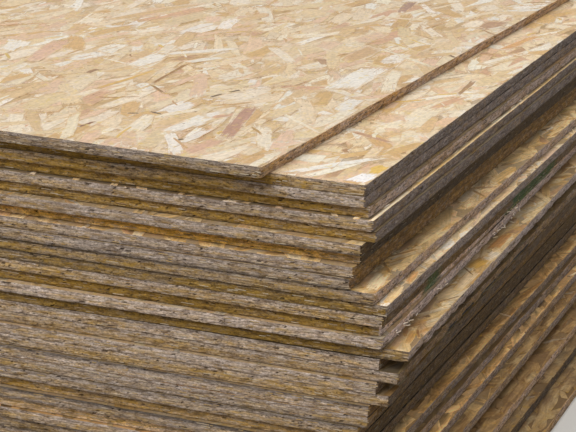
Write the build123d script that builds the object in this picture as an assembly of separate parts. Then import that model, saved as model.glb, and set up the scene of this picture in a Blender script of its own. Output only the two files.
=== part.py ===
from build123d import *
import os

# A pile of oriented strand board panels, lying flat on each other.
# Millimetres, +Z up. The panels' long side runs along Y, and the pile's front,
# with the short edges, faces -Y. The origin is under the middle of the pile.

# One panel
panel_length = 2500.0
panel_width = 1250.0
panel_thickness = 12.0
edge_break = 0.4         # narrow chamfer along the rims of both broad faces

# How the panels lie, from the top of the pile down. The pile has a corner line at its
# front right corner. Each row says how far the panel's own front right corner stands
# to the right of that line, how far in front of it, and how many degrees the panel
# is turned about that corner, anticlockwise seen from above.
panel_lay = [
    (-100, 30, -1.25),
    (0, 0, 0.47),
    (0, 0, 0.47),
    (3, -9, 0.4),
    (9, -3, 0.5),
    (12, -8, 0.5),
    (1, 5, 0.3),
    (-3, -8, 0.1),
    (-6, 5, 0.2),
    (-8, 8, 0.1),
    (18, 6, 0.0),
    (30, 2, 0.25),
    (27, 1, 0.2),
    (22, -6, 0.4),
    (27, -1, 0.9),
    (52, -10, 0.97),
    (24, -7, 0.6),
    (44, -7, 0.5),
    (24, -1, 0.4),
    (37, -3, 0.6),
    (18, 2, 0.3),
    (18, 3, 0.2),
    (9, 5, 0.0),
    (10, -4, 0.05),
    (5, 3, -0.05),
    (7, -5, 0.0),
    (21, 1, -0.2),
    (27, -3, -0.1),
    (39, -6, 0.0),
    (53, 0, 0.05),
    (46, 4, 0.1),
    (69, -3, 0.0),
    (82, 1, -0.05),
    (112, -2, 0.0),
]


def make_panel():
    # A panel with its front right corner on the Z axis and its underside at Z = 0
    blank = Box(
        panel_width,
        panel_length,
        panel_thickness,
        align=(Align.MAX, Align.MIN, Align.MIN),
    )
    rims = blank.faces().filter_by(Axis.Z).edges()
    return chamfer(rims, edge_break)


def lay_panel(panel, panels_below, right, front, turn):
    # The panel rests on as many others as there are below it
    underside = panels_below * panel_thickness
    return Pos(right, -front, underside) * Rot(0, 0, turn) * panel


def build_pile():
    # Panels by name, numbered from the bottom of the pile up
    panel = make_panel()
    pile = {}
    for panels_below, (right, front, turn) in enumerate(reversed(panel_lay)):
        name = f"panel_{panels_below + 1:02d}"
        pile[name] = lay_panel(panel, panels_below, right, front, turn)
    return pile


def centre_pile(pile):
    # Brings the middle of the pile's outline to the origin
    middle = Compound(list(pile.values())).bounding_box().center()
    to_origin = Pos(-middle.X, -middle.Y, 0)
    return {name: to_origin * panel for name, panel in pile.items()}


os.makedirs("parts", exist_ok=True)
for name, panel in centre_pile(build_pile()).items():
    export_step(panel, f"parts/{name}.step")
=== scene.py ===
import math

import bmesh
import bpy
import numpy as np
from mathutils import Matrix, Vector


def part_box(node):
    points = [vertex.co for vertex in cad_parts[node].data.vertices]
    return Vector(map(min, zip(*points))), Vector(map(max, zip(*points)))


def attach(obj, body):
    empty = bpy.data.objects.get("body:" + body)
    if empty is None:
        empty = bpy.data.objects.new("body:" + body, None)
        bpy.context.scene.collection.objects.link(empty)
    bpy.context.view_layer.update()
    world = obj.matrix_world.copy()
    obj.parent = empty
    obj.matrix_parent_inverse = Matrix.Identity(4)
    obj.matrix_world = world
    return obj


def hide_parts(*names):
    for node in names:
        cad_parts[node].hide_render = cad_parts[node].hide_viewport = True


# Loose pile of strand board. Each board is a pressed core with sawn edges and real flakes
# on every part of its upper face that the board above leaves bare. Metres, +Z up.

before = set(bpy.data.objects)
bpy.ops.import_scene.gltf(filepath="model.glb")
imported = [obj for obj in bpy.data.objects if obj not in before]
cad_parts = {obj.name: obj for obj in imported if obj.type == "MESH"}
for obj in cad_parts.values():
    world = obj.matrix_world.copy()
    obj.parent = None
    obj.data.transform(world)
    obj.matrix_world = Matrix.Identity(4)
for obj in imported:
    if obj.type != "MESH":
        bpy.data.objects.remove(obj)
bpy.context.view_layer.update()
mm = 0.001
boardNames = sorted(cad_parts, reverse=True)  # top board first
print("frame loaded,", len(boardNames), "boards")


def colour(red, green, blue):
    # a colour as read off a screen, 0 to 255, turned into what the nodes take
    def linear(level):
        level = level / 255
        return level / 12.92 if level <= 0.04045 else ((level + 0.055) / 1.055) ** 2.4
    return np.array([linear(red), linear(green), linear(blue)])


def between(first, second, share):
    # plain blend of two values or of two rows of values
    return first * (1 - share) + second * share


# Where each board lies, read from the corners of its CAD node

def readPlace(name):
    corners = np.array([vert.co[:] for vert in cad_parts[name].data.vertices])
    towardFront, towardBack = corners[:, 0] - corners[:, 1], corners[:, 0] + corners[:, 1]
    frontRight, rearRight = corners[towardFront.argmax()], corners[towardBack.argmax()]
    frontLeft = corners[towardBack.argmin()]
    along = rearRight - frontRight
    low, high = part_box(name)
    return {
        "corner": Vector((frontRight[0], frontRight[1], 0)),
        "turn": math.atan2(-along[0], along[1]),
        "width": float(np.linalg.norm((frontRight - frontLeft)[:2])),
        "length": float(np.linalg.norm(along[:2])),
        "low": low.z,
        "top": high.z,
    }


places = {name: readPlace(name) for name in boardNames}


def toWorld(place):
    # a board's own frame has its front right corner at the origin, +X right and +Y back
    return Matrix.Translation(place["corner"]) @ Matrix.Rotation(place["turn"], 4, "Z")


def intoBoard(points, fromPlace, otherPlace):
    # flat points of one board's frame, given in the frame of another board
    matrix = toWorld(otherPlace).inverted() @ toWorld(fromPlace)
    turn = np.array([[matrix[0][0], matrix[0][1]], [matrix[1][0], matrix[1][1]]])
    return points @ turn.T + np.array([matrix[0][3], matrix[1][3]])


def addObject(name, data):
    added = bpy.data.objects.new(name, data)
    bpy.context.scene.collection.objects.link(added)
    return added


def readValues(items, key, width=1):
    values = np.empty(len(items) * width, np.float32)
    items.foreach_get(key, values)
    return values


def inside(points, place, margin=0.0):
    x, y = points[..., 0], points[..., 1]
    return (x > margin - place["width"]) & (x < -margin) & (y > margin) & (y < place["length"] - margin)


# Short ways to make and join nodes

def feed(tree, socket, value):
    # a socket takes another node's output, a number or a colour
    if isinstance(value, bpy.types.NodeSocket):
        tree.links.new(value, socket)
    elif isinstance(value, float):
        socket.default_value = value
    else:
        socket.default_value = (*value, 1)


def addNode(tree, kind, **sockets):
    node = tree.nodes.new(kind)
    for name, value in sockets.items():
        node.inputs[name].default_value = value
    return node


def calculate(tree, operation, first, second, clamp=False):
    node = tree.nodes.new("ShaderNodeMath")
    node.operation = operation
    node.use_clamp = clamp
    feed(tree, node.inputs[0], first)
    feed(tree, node.inputs[1], second)
    return node.outputs[0]


def remap(tree, value, low, high, newLow=0.0, newHigh=1.0):
    node = tree.nodes.new("ShaderNodeMapRange")
    for socket, level in (("From Min", low), ("From Max", high), ("To Min", newLow), ("To Max", newHigh)):
        node.inputs[socket].default_value = level
    tree.links.new(value, node.inputs["Value"])
    return node.outputs["Result"]


def combine(tree, blend, factor, first, second):
    node = tree.nodes.new("ShaderNodeMix")
    node.data_type = "RGBA"
    node.blend_type = blend
    for index, value in ((0, factor), (6, first), (7, second)):
        feed(tree, node.inputs[index], value)
    return node.outputs[2]


def multiply(tree, tone, value):
    # darkens or lightens a tone by one value
    grey = tree.nodes.new("ShaderNodeCombineColor")
    for socket in grey.inputs[:3]:
        tree.links.new(value, socket)
    return combine(tree, "MULTIPLY", 1.0, tone, grey.outputs["Color"])


def seenDirectly(tree):
    # 1 where the camera or a reflection sees it, 0 where it only gives light
    rays = tree.nodes.new("ShaderNodeLightPath")
    return calculate(tree, "MAXIMUM", rays.outputs["Is Camera Ray"], rays.outputs["Is Glossy Ray"])


# Camera, lamp, sky and floor

cameraSettings = {
    "fromCorner": (0.6085, -1.9543, 0.5313),  # from the second board's front right corner
    "heading": 19.402,  # degrees left of +Y
    "down": 15.477,
    "roll": 2.750,
    "lens": 134.15,
    "sensor": 36,
    "farthest": 100,
}
lightSettings = {
    "skyLow": 0.2,  # strength of the sky at the horizon and overhead
    "skyHigh": 0.9,
    "skyColour": (1.0, 0.985, 0.96),
    "keyPlace": (-0.6, -7.2, 5.8),
    "keyAim": (0, -0.3, 0.3),
    "keySize": 4.5,
    "keyWatts": 370,
    "keyColour": (1.0, 0.975, 0.94),
}
floorSettings = {"size": 60.0, "roughness": 0.9, "tone": (226, 224, 220), "bounceTone": (120, 112, 100)}


def addCamera(settings):
    data = bpy.data.cameras.new("camera")
    data.lens = settings["lens"]
    data.sensor_width = settings["sensor"]
    data.clip_end = settings["farthest"]
    camera = addObject("camera", data)
    second = places[boardNames[1]]
    corner = second["corner"] + Vector((0, 0, second["top"]))
    camera.matrix_world = (
        Matrix.Translation(corner + Vector(settings["fromCorner"]))
        @ Matrix.Rotation(math.radians(settings["heading"]), 4, "Z")
        @ Matrix.Rotation(math.radians(90 - settings["down"]), 4, "X")
        @ Matrix.Rotation(math.radians(settings["roll"]), 4, "Z")
    )
    bpy.context.scene.camera = camera


def addKeyLamp(settings):
    data = bpy.data.lights.new("keyLamp", "AREA")
    data.shape = "SQUARE"
    data.size = settings["keySize"]
    data.energy = settings["keyWatts"]
    data.color = settings["keyColour"]
    lamp = addObject("keyLamp", data)
    lamp.location = settings["keyPlace"]
    way = Vector(settings["keyAim"]) - Vector(settings["keyPlace"])
    lamp.rotation_euler = way.to_track_quat("-Z", "Y").to_euler()


def addSky(settings):
    world = bpy.data.worlds.new("studio")
    bpy.context.scene.world = world
    world.use_nodes = True
    tree = world.node_tree
    background = tree.nodes["Background"]
    background.inputs["Color"].default_value = (*settings["skyColour"], 1)
    way = tree.nodes.new("ShaderNodeTexCoord")
    upward = tree.nodes.new("ShaderNodeSeparateXYZ")
    tree.links.new(way.outputs["Generated"], upward.inputs["Vector"])
    sky = remap(tree, upward.outputs["Z"], 0.0, 1.0, settings["skyLow"], settings["skyHigh"])
    level = addNode(tree, "ShaderNodeMix", B=1.0)
    tree.links.new(seenDirectly(tree), level.inputs["Factor"])
    tree.links.new(sky, level.inputs["A"])
    tree.links.new(level.outputs["Result"], background.inputs["Strength"])


def addFloor(settings):
    bm = bmesh.new()
    bmesh.ops.create_grid(bm, x_segments=1, y_segments=1, size=settings["size"] / 2)
    mesh = bpy.data.meshes.new("floor")
    bm.to_mesh(mesh)
    bm.free()
    floor = addObject("floor", mesh)
    finish = bpy.data.materials.new("paleFloor")
    finish.use_nodes = True
    tree = finish.node_tree
    shader = tree.nodes["Principled BSDF"]
    shader.inputs["Roughness"].default_value = settings["roughness"]
    bounce, tone = colour(*settings["bounceTone"]), colour(*settings["tone"])
    tree.links.new(combine(tree, "MIX", seenDirectly(tree), bounce, tone), shader.inputs["Base Color"])
    mesh.materials.append(finish)


bpy.context.scene.view_settings.view_transform = "Standard"
addCamera(cameraSettings)
addSky(lightSettings)
addKeyLamp(lightSettings)
addFloor(floorSettings)
print("camera, lamp, sky and floor are in")


# Finishes. A noise has its cycles a metre each way, detail and roughness, and runs from about
# 0.3 to 0.7. A span says from which value to which a tone comes in, and how much of it.

woodSpecular = 0.3
flakeFinishSettings = {
    "roughness": 0.62,
    "noises": {
        "grain": ((16.0, 420.0, 1.0), 3.0, 0.6),  # along and across the flake
        "ragged": ((22.0, 330.0, 1.0), 3.0, 0.65),
        "patches": ((34.0, 9.0, 30.0), 3.0, 0.6),  # across and along the board
        "morePatches": ((27.2, 11.7, 37.0), 3.0, 0.6),
        "open": ((24.0, 12.0, 24.0), 2.0, 0.55),
        "swirl": ((30.0, 15.0, 20.0), 2.0, 0.5),
        "veined": ((16.0, 9.0, 12.0), 2.0, 0.5),
        "fine": ((260.0, 130.0, 90.0), 4.0, 0.65),
        "specks": ((170.0, 110.0, 60.0), 2.0, 0.5),
        "grime": ((30.0, 14.0, 30.0), 4.0, 0.7),
    },
    "spans": {
        "honey": (0.42, 0.6, 1.0),
        "rosy": (0.54, 0.66, 0.6),
        "white": (0.46, 0.34, 0.75),
        "yellow": (0.6, 0.72, 0.6),
        "fleck": (0.3, 0.25, 0.6),
    },
    "straw": (229, 208, 178),
    "honey": (218, 186, 142),
    "rosy": (226, 188, 160),
    "white": (241, 233, 221),
    "yellow": (222, 196, 118),
    "fleck": (122, 90, 60),
    "crevice": (166, 122, 66),
    "vein": (194, 148, 92),
    "ownShare": 0.9,  # of a flake's own tone over the patches
    "raggedness": (0.3, 0.7, -0.3, 0.16),  # from and to which noise, and how far the rim moves
    "rimFade": 0.16,  # from a flake's rim, where its middle is 1
    "crackAt": 0.055,  # middle of the crack along a rim
    "openSpan": (0.5, 0.62, 13.0),  # where cracks along the rims are open
    "grainDepth": (0.34, 0.66, 0.93, 1.04),
    "fineDepth": (0.34, 0.66, 0.84, 1.09),
    "veinStep": 0.035,  # of the swirl, from one vein to the next
    "veinSpan": (0.0, 0.0065, 0.7, 0.0),
    "veinedSpan": (0.5, 0.58),
    "grimeSpan": (0.5, 0.66),
    "dirt": 0.0,  # most of it in the grime
    "bump": (0.3 * mm, 0.5),  # height and strength
}
stripFinishSettings = {  # the narrow strips that lower boards show
    **flakeFinishSettings,
    "noises": {
        **flakeFinishSettings["noises"],
        "patches": ((95.0, 9.0, 30.0), 3.0, 0.6),
        "morePatches": ((76.0, 11.7, 37.0), 3.0, 0.6),
    },
    "grainDepth": (0.34, 0.66, 0.78, 1.1),
    "straw": (238, 208, 154),
    "honey": (206, 162, 94),
    "rosy": (214, 170, 122),
    "white": (248, 232, 198),
    "yellow": (214, 168, 70),
    "ownShare": 0.8,
    "dirt": 0.35,
}
paleStripSettings = {
    **stripFinishSettings,
    "straw": (242, 218, 176),
    "honey": (230, 196, 142),
    "rosy": (232, 200, 156),
    "dirt": 0.2,
}
# the lowest strips: dirt, and darker tones that paint the shade deep in the pile
grimyShadedStripSettings = {
    **stripFinishSettings,
    "straw": (222, 184, 124),
    "honey": (148, 108, 58),
    "rosy": (168, 126, 82),
    "white": (240, 212, 160),
    "ownShare": 0.45,
    "dirt": 0.7,
}


def noise(tree, source, settings, kind):
    # drawn out differently along each axis
    scale, detail, roughness = settings["noises"][kind]
    mapping = addNode(tree, "ShaderNodeMapping", Scale=scale)
    tree.links.new(source, mapping.inputs["Vector"])
    texture = addNode(tree, "ShaderNodeTexNoise", Scale=1.0, Detail=detail, Roughness=roughness)
    tree.links.new(mapping.outputs["Vector"], texture.inputs["Vector"])
    return texture.outputs["Fac"]


def tint(tree, tone, value, settings, kind):
    # brings in one of the finish's tones while the value runs through its span
    start, end, share = settings["spans"][kind]
    return combine(tree, "MIX", remap(tree, value, start, end, 0.0, share), tone, colour(*settings[kind]))


def readAttribute(tree, name):
    node = tree.nodes.new("ShaderNodeAttribute")
    node.attribute_name = name
    return node


def startFinish(name, settings):
    finish = bpy.data.materials.new(name)
    finish.use_nodes = True
    tree = finish.node_tree
    shader = tree.nodes["Principled BSDF"]
    shader.inputs["Roughness"].default_value = settings["roughness"]
    shader.inputs["Specular IOR Level"].default_value = woodSpecular
    place = tree.nodes.new("ShaderNodeTexCoord").outputs["Object"]
    return finish, tree, shader, place, readAttribute(tree, "tone")


def endFinish(tree, shader, tone, height, settings):
    # the shade attribute multiplies in painted shade and painted light, darkest where a board rises from
    # this one, and fine relief comes last
    shaded = multiply(tree, tone, readAttribute(tree, "shade").outputs["Fac"])
    tree.links.new(shaded, shader.inputs["Base Color"])
    distance, strength = settings["bump"]
    bump = addNode(tree, "ShaderNodeBump", Strength=strength, Distance=distance)
    tree.links.new(height, bump.inputs["Height"])
    tree.links.new(bump.outputs["Normal"], shader.inputs["Normal"])


def patchedTone(tree, place, settings):
    # soft patches of a few wood tones that pass from one flake to the next
    patches = noise(tree, place, settings, "patches")
    tone = tint(tree, colour(*settings["straw"]), patches, settings, "honey")
    more = noise(tree, place, settings, "morePatches")
    tone = tint(tree, tone, more, settings, "rosy")
    return tint(tree, tone, more, settings, "white")


def mottled(tree, tone, place, settings):
    # fine unevenness, with small yellow and dark flecks
    fine = noise(tree, place, settings, "fine")
    tone = multiply(tree, tone, remap(tree, fine, *settings["fineDepth"]))
    specks = noise(tree, place, settings, "specks")
    tone = tint(tree, tone, specks, settings, "yellow")
    tone = tint(tree, tone, specks, settings, "fleck")
    if settings["dirt"]:
        grime = noise(tree, place, settings, "grime")
        share = remap(tree, grime, *settings["grimeSpan"], 0.0, settings["dirt"])
        tone = combine(tree, "MIX", share, tone, colour(*settings["fleck"]))
    return tone, fine


def veined(tree, tone, place, settings):
    # thin curved lines, as in wood that is cut near a knot
    line = calculate(tree, "PINGPONG", noise(tree, place, settings, "swirl"), settings["veinStep"])
    line = remap(tree, line, *settings["veinSpan"])
    here = remap(tree, noise(tree, place, settings, "veined"), *settings["veinedSpan"])
    share = calculate(tree, "MULTIPLY", line, here)
    return combine(tree, "MIX", share, tone, colour(*settings["vein"]))


def flakeFinish(name, settings):
    # each flake has its own tone, which fades out at a ragged rim; grain follows its own UV map
    finish, tree, shader, place, own = startFinish(name, settings)
    uv = tree.nodes.new("ShaderNodeUVMap")
    uv.uv_map = "grain"
    ragged = remap(tree, noise(tree, uv.outputs["UV"], settings, "ragged"), *settings["raggedness"])
    inward = calculate(tree, "ADD", own.outputs["Alpha"], ragged)
    shown = remap(tree, inward, 0.0, settings["rimFade"], 0.0, settings["ownShare"])
    tone = combine(tree, "MIX", shown, patchedTone(tree, place, settings), own.outputs["Color"])
    # along open stretches of a rim, the crevice tone paints the shade in the crack
    rim = calculate(tree, "PINGPONG", inward, settings["crackAt"], clamp=True)
    atRim = calculate(tree, "LESS_THAN", inward, 2 * settings["crackAt"])
    start, end, width = settings["openSpan"]
    gaping = remap(tree, noise(tree, place, settings, "open"), start, end, 0.0, width)
    crack = calculate(tree, "MULTIPLY", calculate(tree, "MULTIPLY", rim, atRim), gaping, clamp=True)
    tone = combine(tree, "MIX", crack, tone, colour(*settings["crevice"]))
    grain = noise(tree, uv.outputs["UV"], settings, "grain")
    tone = multiply(tree, tone, remap(tree, grain, *settings["grainDepth"]))
    tone = veined(tree, tone, place, settings)
    tone, fine = mottled(tree, tone, place, settings)
    endFinish(tree, shader, tone, fine, settings)
    return finish


edgeFinishSettings = {
    "roughness": 0.85,
    "noises": {
        "layers": ((330.0, 330.0, 720.0), 4.0, 0.75),
        "broad": ((60.0, 60.0, 190.0), 4.0, 0.7),
        "blotch": ((70.0, 70.0, 240.0), 4.0, 0.7),
        "fibres": ((290.0, 290.0, 900.0), 3.0, 0.55),
        "pits": ((260.0, 260.0, 800.0), 2.0, 0.55),
    },
    "spans": {
        "umber": (0.5, 0.64, 0.55),
        "cream": (0.46, 0.34, 0.3),
        "fibre": (0.62, 0.72, 0.6),
        "dark": (0.62, 0.7, 0.85),
    },
    "dark": (44, 31, 18),
    "umber": (88, 64, 34),
    "cream": (206, 190, 168),
    "gold": (192, 152, 64),
    "fibre": (206, 194, 178),
    "layerDepth": (0.35, 0.66, 0.5, 1.5),
    "goldSpan": (0.5, 0.64, 0.0, 0.8),
    "goldShare": (0.15, 1.0),  # where it is weathered and where it is fresh
    "bump": (0.6 * mm, 0.9),
}


def edgeFinish(name, settings):
    # sawn edge: fine layers lie flat, with open pits, and gold shows where it isn't weathered; that gold is
    # partly painted shade and bounce light under an overhang
    finish, tree, shader, place, own = startFinish(name, settings)
    layers = noise(tree, place, settings, "layers")
    tone = multiply(tree, own.outputs["Color"], remap(tree, layers, *settings["layerDepth"]))
    blotch = noise(tree, place, settings, "blotch")
    tone = tint(tree, tone, blotch, settings, "umber")
    tone = tint(tree, tone, blotch, settings, "cream")
    fresh = calculate(tree, "SUBTRACT", 1.0, own.outputs["Alpha"])
    golden = remap(tree, noise(tree, place, settings, "broad"), *settings["goldSpan"])
    golden = calculate(tree, "MULTIPLY", golden, remap(tree, fresh, 0.0, 1.0, *settings["goldShare"]))
    tone = combine(tree, "MIX", golden, tone, colour(*settings["gold"]))
    tone = tint(tree, tone, noise(tree, place, settings, "fibres"), settings, "fibre")
    # the dark specks paint the shade in open pits
    tone = tint(tree, tone, noise(tree, place, settings, "pits"), settings, "dark")
    endFinish(tree, shader, tone, layers, settings)
    return finish


bedTones = {"top": (0.86, 0.83, 0.8, 1), "strip": (0.8, 0.76, 0.7, 1), "grimyShaded": (0.78, 0.62, 0.42, 1)}
bedFinishSettings = {
    **flakeFinishSettings,
    "roughness": 0.8,
    "noises": {**flakeFinishSettings["noises"], "wander": ((9.0, 9.0, 9.0), 1.0, 0.55)},
    "wander": (-6.0, 6.0),  # how far the rows of cells bend, in cells
    "cells": (110.0, 10.0, 30.0),  # cells a metre across and along the boards
    "cellTones": ((206, 176, 132), (228, 208, 176), (219, 190, 152), (211, 182, 134)),
    "cellShare": 0.5,
    "bump": (0.4 * mm, 0.7),
}


def bedFinish(name, settings):
    # the pressed layer under the loose flakes and the undersides, flake shaped cells
    finish, tree, shader, place, own = startFinish(name, settings)
    shift = tree.nodes.new("ShaderNodeCombineXYZ")
    wander = remap(tree, noise(tree, place, settings, "wander"), 0.0, 1.0, *settings["wander"])
    tree.links.new(wander, shift.inputs["X"])
    mapping = addNode(tree, "ShaderNodeMapping", Scale=settings["cells"])
    tree.links.new(place, mapping.inputs["Vector"])
    bent = tree.nodes.new("ShaderNodeVectorMath")
    bent.operation = "ADD"
    tree.links.new(mapping.outputs["Vector"], bent.inputs[0])
    tree.links.new(shift.outputs["Vector"], bent.inputs[1])
    cells = addNode(tree, "ShaderNodeTexVoronoi", Scale=1.0)
    tree.links.new(bent.outputs["Vector"], cells.inputs["Vector"])
    split = tree.nodes.new("ShaderNodeSeparateColor")
    tree.links.new(cells.outputs["Color"], split.inputs["Color"])
    ramp = tree.nodes.new("ShaderNodeValToRGB")
    ramp.color_ramp.interpolation = "CONSTANT"
    stops = ramp.color_ramp.elements
    for index, levels in enumerate(settings["cellTones"]):
        stop = stops[0] if index == 0 else stops.new(index / len(settings["cellTones"]))
        stop.color = (*colour(*levels), 1)
    tree.links.new(split.outputs["Red"], ramp.inputs["Fac"])
    patches = patchedTone(tree, place, settings)
    tone = combine(tree, "MIX", settings["cellShare"], patches, ramp.outputs["Color"])
    tone, fine = mottled(tree, tone, place, settings)
    tone = combine(tree, "MULTIPLY", 1.0, tone, own.outputs["Color"])
    endFinish(tree, shader, tone, fine, settings)
    return finish


topFinish = flakeFinish("flakeFinish", flakeFinishSettings)
stripFinish = flakeFinish("stripFinish", stripFinishSettings)
paleStripFinish = flakeFinish("paleStripFinish", paleStripSettings)
grimyShadedStripFinish = flakeFinish("grimyShadedStripFinish", grimyShadedStripSettings)
sawnFinish = edgeFinish("sawnEdgeFinish", edgeFinishSettings)
pressedFinish = bedFinish("pressedBedFinish", bedFinishSettings)
flakeSlot, edgeSlot, bedSlot = 0, 1, 2
print("finishes made")


# Flakes

flakeSettings = {
    "seed": 11,
    "shapes": 40,  # of each kind
    "bows": {"flake": 0.7, "sliver": 4.0, "straight": 0.3},
    "fullness": (0.3, 0.4),  # across and along; 0 is square and 1 is pointed
    "taper": 0.4,
    "skew": 0.16,
    "bowShift": 0.1,  # keeps the middle of a bowed flake in place
    "torn": (0.1, 0.06),  # how uneven the rim is across and along
    "thick": 0.75 * mm,
    "leastDepth": 0.01 * mm,
    "bedDrop": 0.7 * mm,  # how far the pressed bed lies under the board's upper face
    "pitch": (13.2 * mm, 84 * mm),  # one flake is dropped in each cell of this size, in each layer
    "scatter": (-0.25, 1.25),  # where in its cell a flake may fall
    "layers": ((0.4, 0.6), (0.12, 0.34)),  # mm under the face, deeper layer first
    "length": (98 * mm, 26 * mm),
    "lengthLimits": (40 * mm, 150 * mm),
    "width": (19 * mm, 0.34),
    "widthLimits": (5 * mm, 32 * mm),
    "turn": 18,  # degrees, the usual spread about the board's long side
    "strayShare": 0.1,  # a few lie well off that way, and are shorter
    "strayTurn": 55,
    "strayLength": 0.7,
    "tilt": 0.1 * mm,
    "grainShift": 40,  # metres, so that no two flakes have the same grain
    "slivers": 240,  # small broken bits on each square metre of bare face
    "sliverLength": (16 * mm, 60 * mm),
    "sliverWidth": (2.2 * mm, 6.5 * mm),
    "sliverTurn": 32,
    "sliverDepth": (0.05, 0.12),
    "lightSpread": (0.94, 1.05),
    "hueSpread": (0.985, 1.015),
}
flakeTones = (  # share of the flakes, and tone
    (0.22, (232, 212, 182)),
    (0.18, (238, 224, 202)),
    (0.15, (225, 201, 162)),
    (0.12, (217, 186, 142)),
    (0.12, (227, 194, 166)),
    (0.06, (210, 172, 118)),
    (0.09, (241, 234, 223)),
    (0.03, (208, 166, 136)),
    (0.008, (184, 146, 114)),
)
stripTones = (  # lower boards are a little dirtier and more golden
    (0.26, (222, 190, 136)),
    (0.26, (232, 206, 160)),
    (0.16, (206, 168, 108)),
    (0.10, (216, 176, 134)),
    (0.14, (236, 218, 184)),
    (0.05, (180, 136, 78)),
    (0.03, (184, 142, 106)),
)
# darker flake tones low in the pile: dirt, and painted shade
grimyShadedTones = (
    (0.4, (200, 158, 98)),
    (0.3, (156, 114, 64)),
    (0.3, (226, 190, 132)),
)
sliverTones = (
    (0.30, (238, 228, 210)),
    (0.25, (216, 184, 140)),
    (0.18, (198, 158, 112)),
    (0.08, (164, 124, 86)),
    (0.12, (218, 184, 104)),
    (0.012, (104, 78, 54)),
)
rimPoints = 6  # corners of a flake
orderFrom = math.radians(15)  # between two corners
nearMiddle, afterRound, layerStep = 0.01, 7, 20


def downAndRound(spot):
    # puts corners and faces in one order: upper ones first, then round, and the middle last
    angle = (math.atan2(spot.y, spot.x) - orderFrom) % (2 * math.pi)
    return (angle if spot.xy.length > nearMiddle else afterRound) - layerStep * spot.z


def cutBlank(blunt):
    # a thin closed plate, one across and one thick, before it is torn to shape
    bm = bmesh.new()
    bmesh.ops.create_circle(bm, cap_ends=True, segments=rimPoints, radius=0.5)
    if blunt:
        bmesh.ops.rotate(bm, verts=bm.verts[:], matrix=Matrix.Rotation(math.pi / rimPoints, 3, "Z"))
    grown = bmesh.ops.extrude_face_region(bm, geom=bm.faces[:])
    lowered = [part for part in grown["geom"] if isinstance(part, bmesh.types.BMVert)]
    bmesh.ops.translate(bm, verts=lowered, vec=(0, 0, -1))
    upper = max(bm.faces, key=lambda face: face.calc_center_median().z)
    bmesh.ops.poke(bm, faces=[upper])
    bmesh.ops.recalc_face_normals(bm, faces=bm.faces[:])
    bm.verts.sort(key=lambda vert: downAndRound(vert.co))
    bm.verts.index_update()
    bm.faces.sort(key=lambda face: downAndRound(face.calc_center_median()))
    points = np.array([vert.co[:] for vert in bm.verts])
    faces = [[vert.index for vert in face.verts] for face in bm.faces]
    faces = [face[face.index(min(face)):] + face[:face.index(min(face))] for face in faces]
    bm.free()
    return points, faces


def tearBlank(blank, count, bow, settings, draw):
    # many plates about one wide and one long, each with its own taper, skew, bow and torn rim
    shapes = np.repeat(blank[0][None], count, axis=0)
    across, along = shapes[:, :rimPoints, 0], shapes[:, :rimPoints, 1]
    fullAcross, fullAlong = settings["fullness"]
    across = 0.5 * np.sign(across) * np.abs(2 * across) ** fullAcross
    along = 0.5 * np.sign(along) * np.abs(2 * along) ** fullAlong
    reaches = (settings["taper"], settings["skew"], bow)
    taper, skew, bend = (draw.uniform(-reach, reach, (count, 1)) for reach in reaches)
    tornAcross, tornAlong = settings["torn"]
    along = along + skew * across + draw.uniform(-tornAlong, tornAlong, along.shape)
    across = across * (1 + taper * along) + draw.uniform(-tornAcross, tornAcross, across.shape)
    across = across + bend * (along ** 2 - settings["bowShift"])
    for first in (0, rimPoints + 1):
        shapes[:, first:first + rimPoints, 0] = across
        shapes[:, first:first + rimPoints, 1] = along
    shapes[:, rimPoints, 0] = across.mean(axis=1)
    shapes[:, rimPoints, 1] = along.mean(axis=1)
    return shapes


def makeKinds(settings):
    # torn shapes and faces of the flakes, the bowed slivers and the straight ones
    draw = np.random.default_rng(settings["seed"])
    blunt, pointed = cutBlank(True), cutBlank(False)
    count, bows = settings["shapes"], settings["bows"]
    half = [tearBlank(blank, count // 2, bows["flake"], settings, draw) for blank in (blunt, pointed)]
    sliver = tearBlank(blunt, count, bows["sliver"], settings, draw)
    straight = tearBlank(blunt, count, bows["straight"], settings, draw)
    return [(shapes, blunt[1]) for shapes in (np.concatenate(half), sliver, straight)]


flakeKind, sliverKind, straightKind = makeKinds(flakeSettings)


def dropFlakes(place, settings, draw):
    # one row for each flake: across, along, length, width, turn, depth
    rows = []
    pitchX, pitchY = settings["pitch"]
    for shallow, deep in settings["layers"]:
        countX, countY = round(place["width"] / pitchX) + 1, round(place["length"] / pitchY) + 1
        cellX, cellY = np.meshgrid(np.arange(countX), np.arange(countY))
        total = cellX.size
        across = -(cellX.ravel() - 0.5 + draw.uniform(*settings["scatter"], total)) * pitchX
        along = (cellY.ravel() - 0.5 + draw.uniform(*settings["scatter"], total)) * pitchY
        length = np.clip(draw.normal(*settings["length"], total), *settings["lengthLimits"])
        usual, spread = settings["width"]
        width = np.clip(usual * np.exp(draw.normal(0, spread, total)), *settings["widthLimits"])
        turn = draw.normal(0, settings["turn"], total)
        stray = draw.random(total) < settings["strayShare"]
        turn = np.where(stray, draw.normal(0, settings["strayTurn"], total), turn)
        length = np.where(stray, length * settings["strayLength"], length)
        depth = draw.uniform(shallow, deep, total) * mm
        rows.append(np.column_stack([across, along, length, width, np.radians(turn), depth]))
    return np.vstack(rows)


def dropSlivers(place, settings, draw):
    total = int(settings["slivers"] * place["width"] * place["length"])
    return np.column_stack([
        -draw.uniform(0, place["width"], total),
        draw.uniform(0, place["length"], total),
        draw.uniform(*settings["sliverLength"], total),
        draw.uniform(*settings["sliverWidth"], total),
        np.radians(draw.normal(0, settings["sliverTurn"], total)),
        draw.uniform(*settings["sliverDepth"], total) * mm,
    ])


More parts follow.
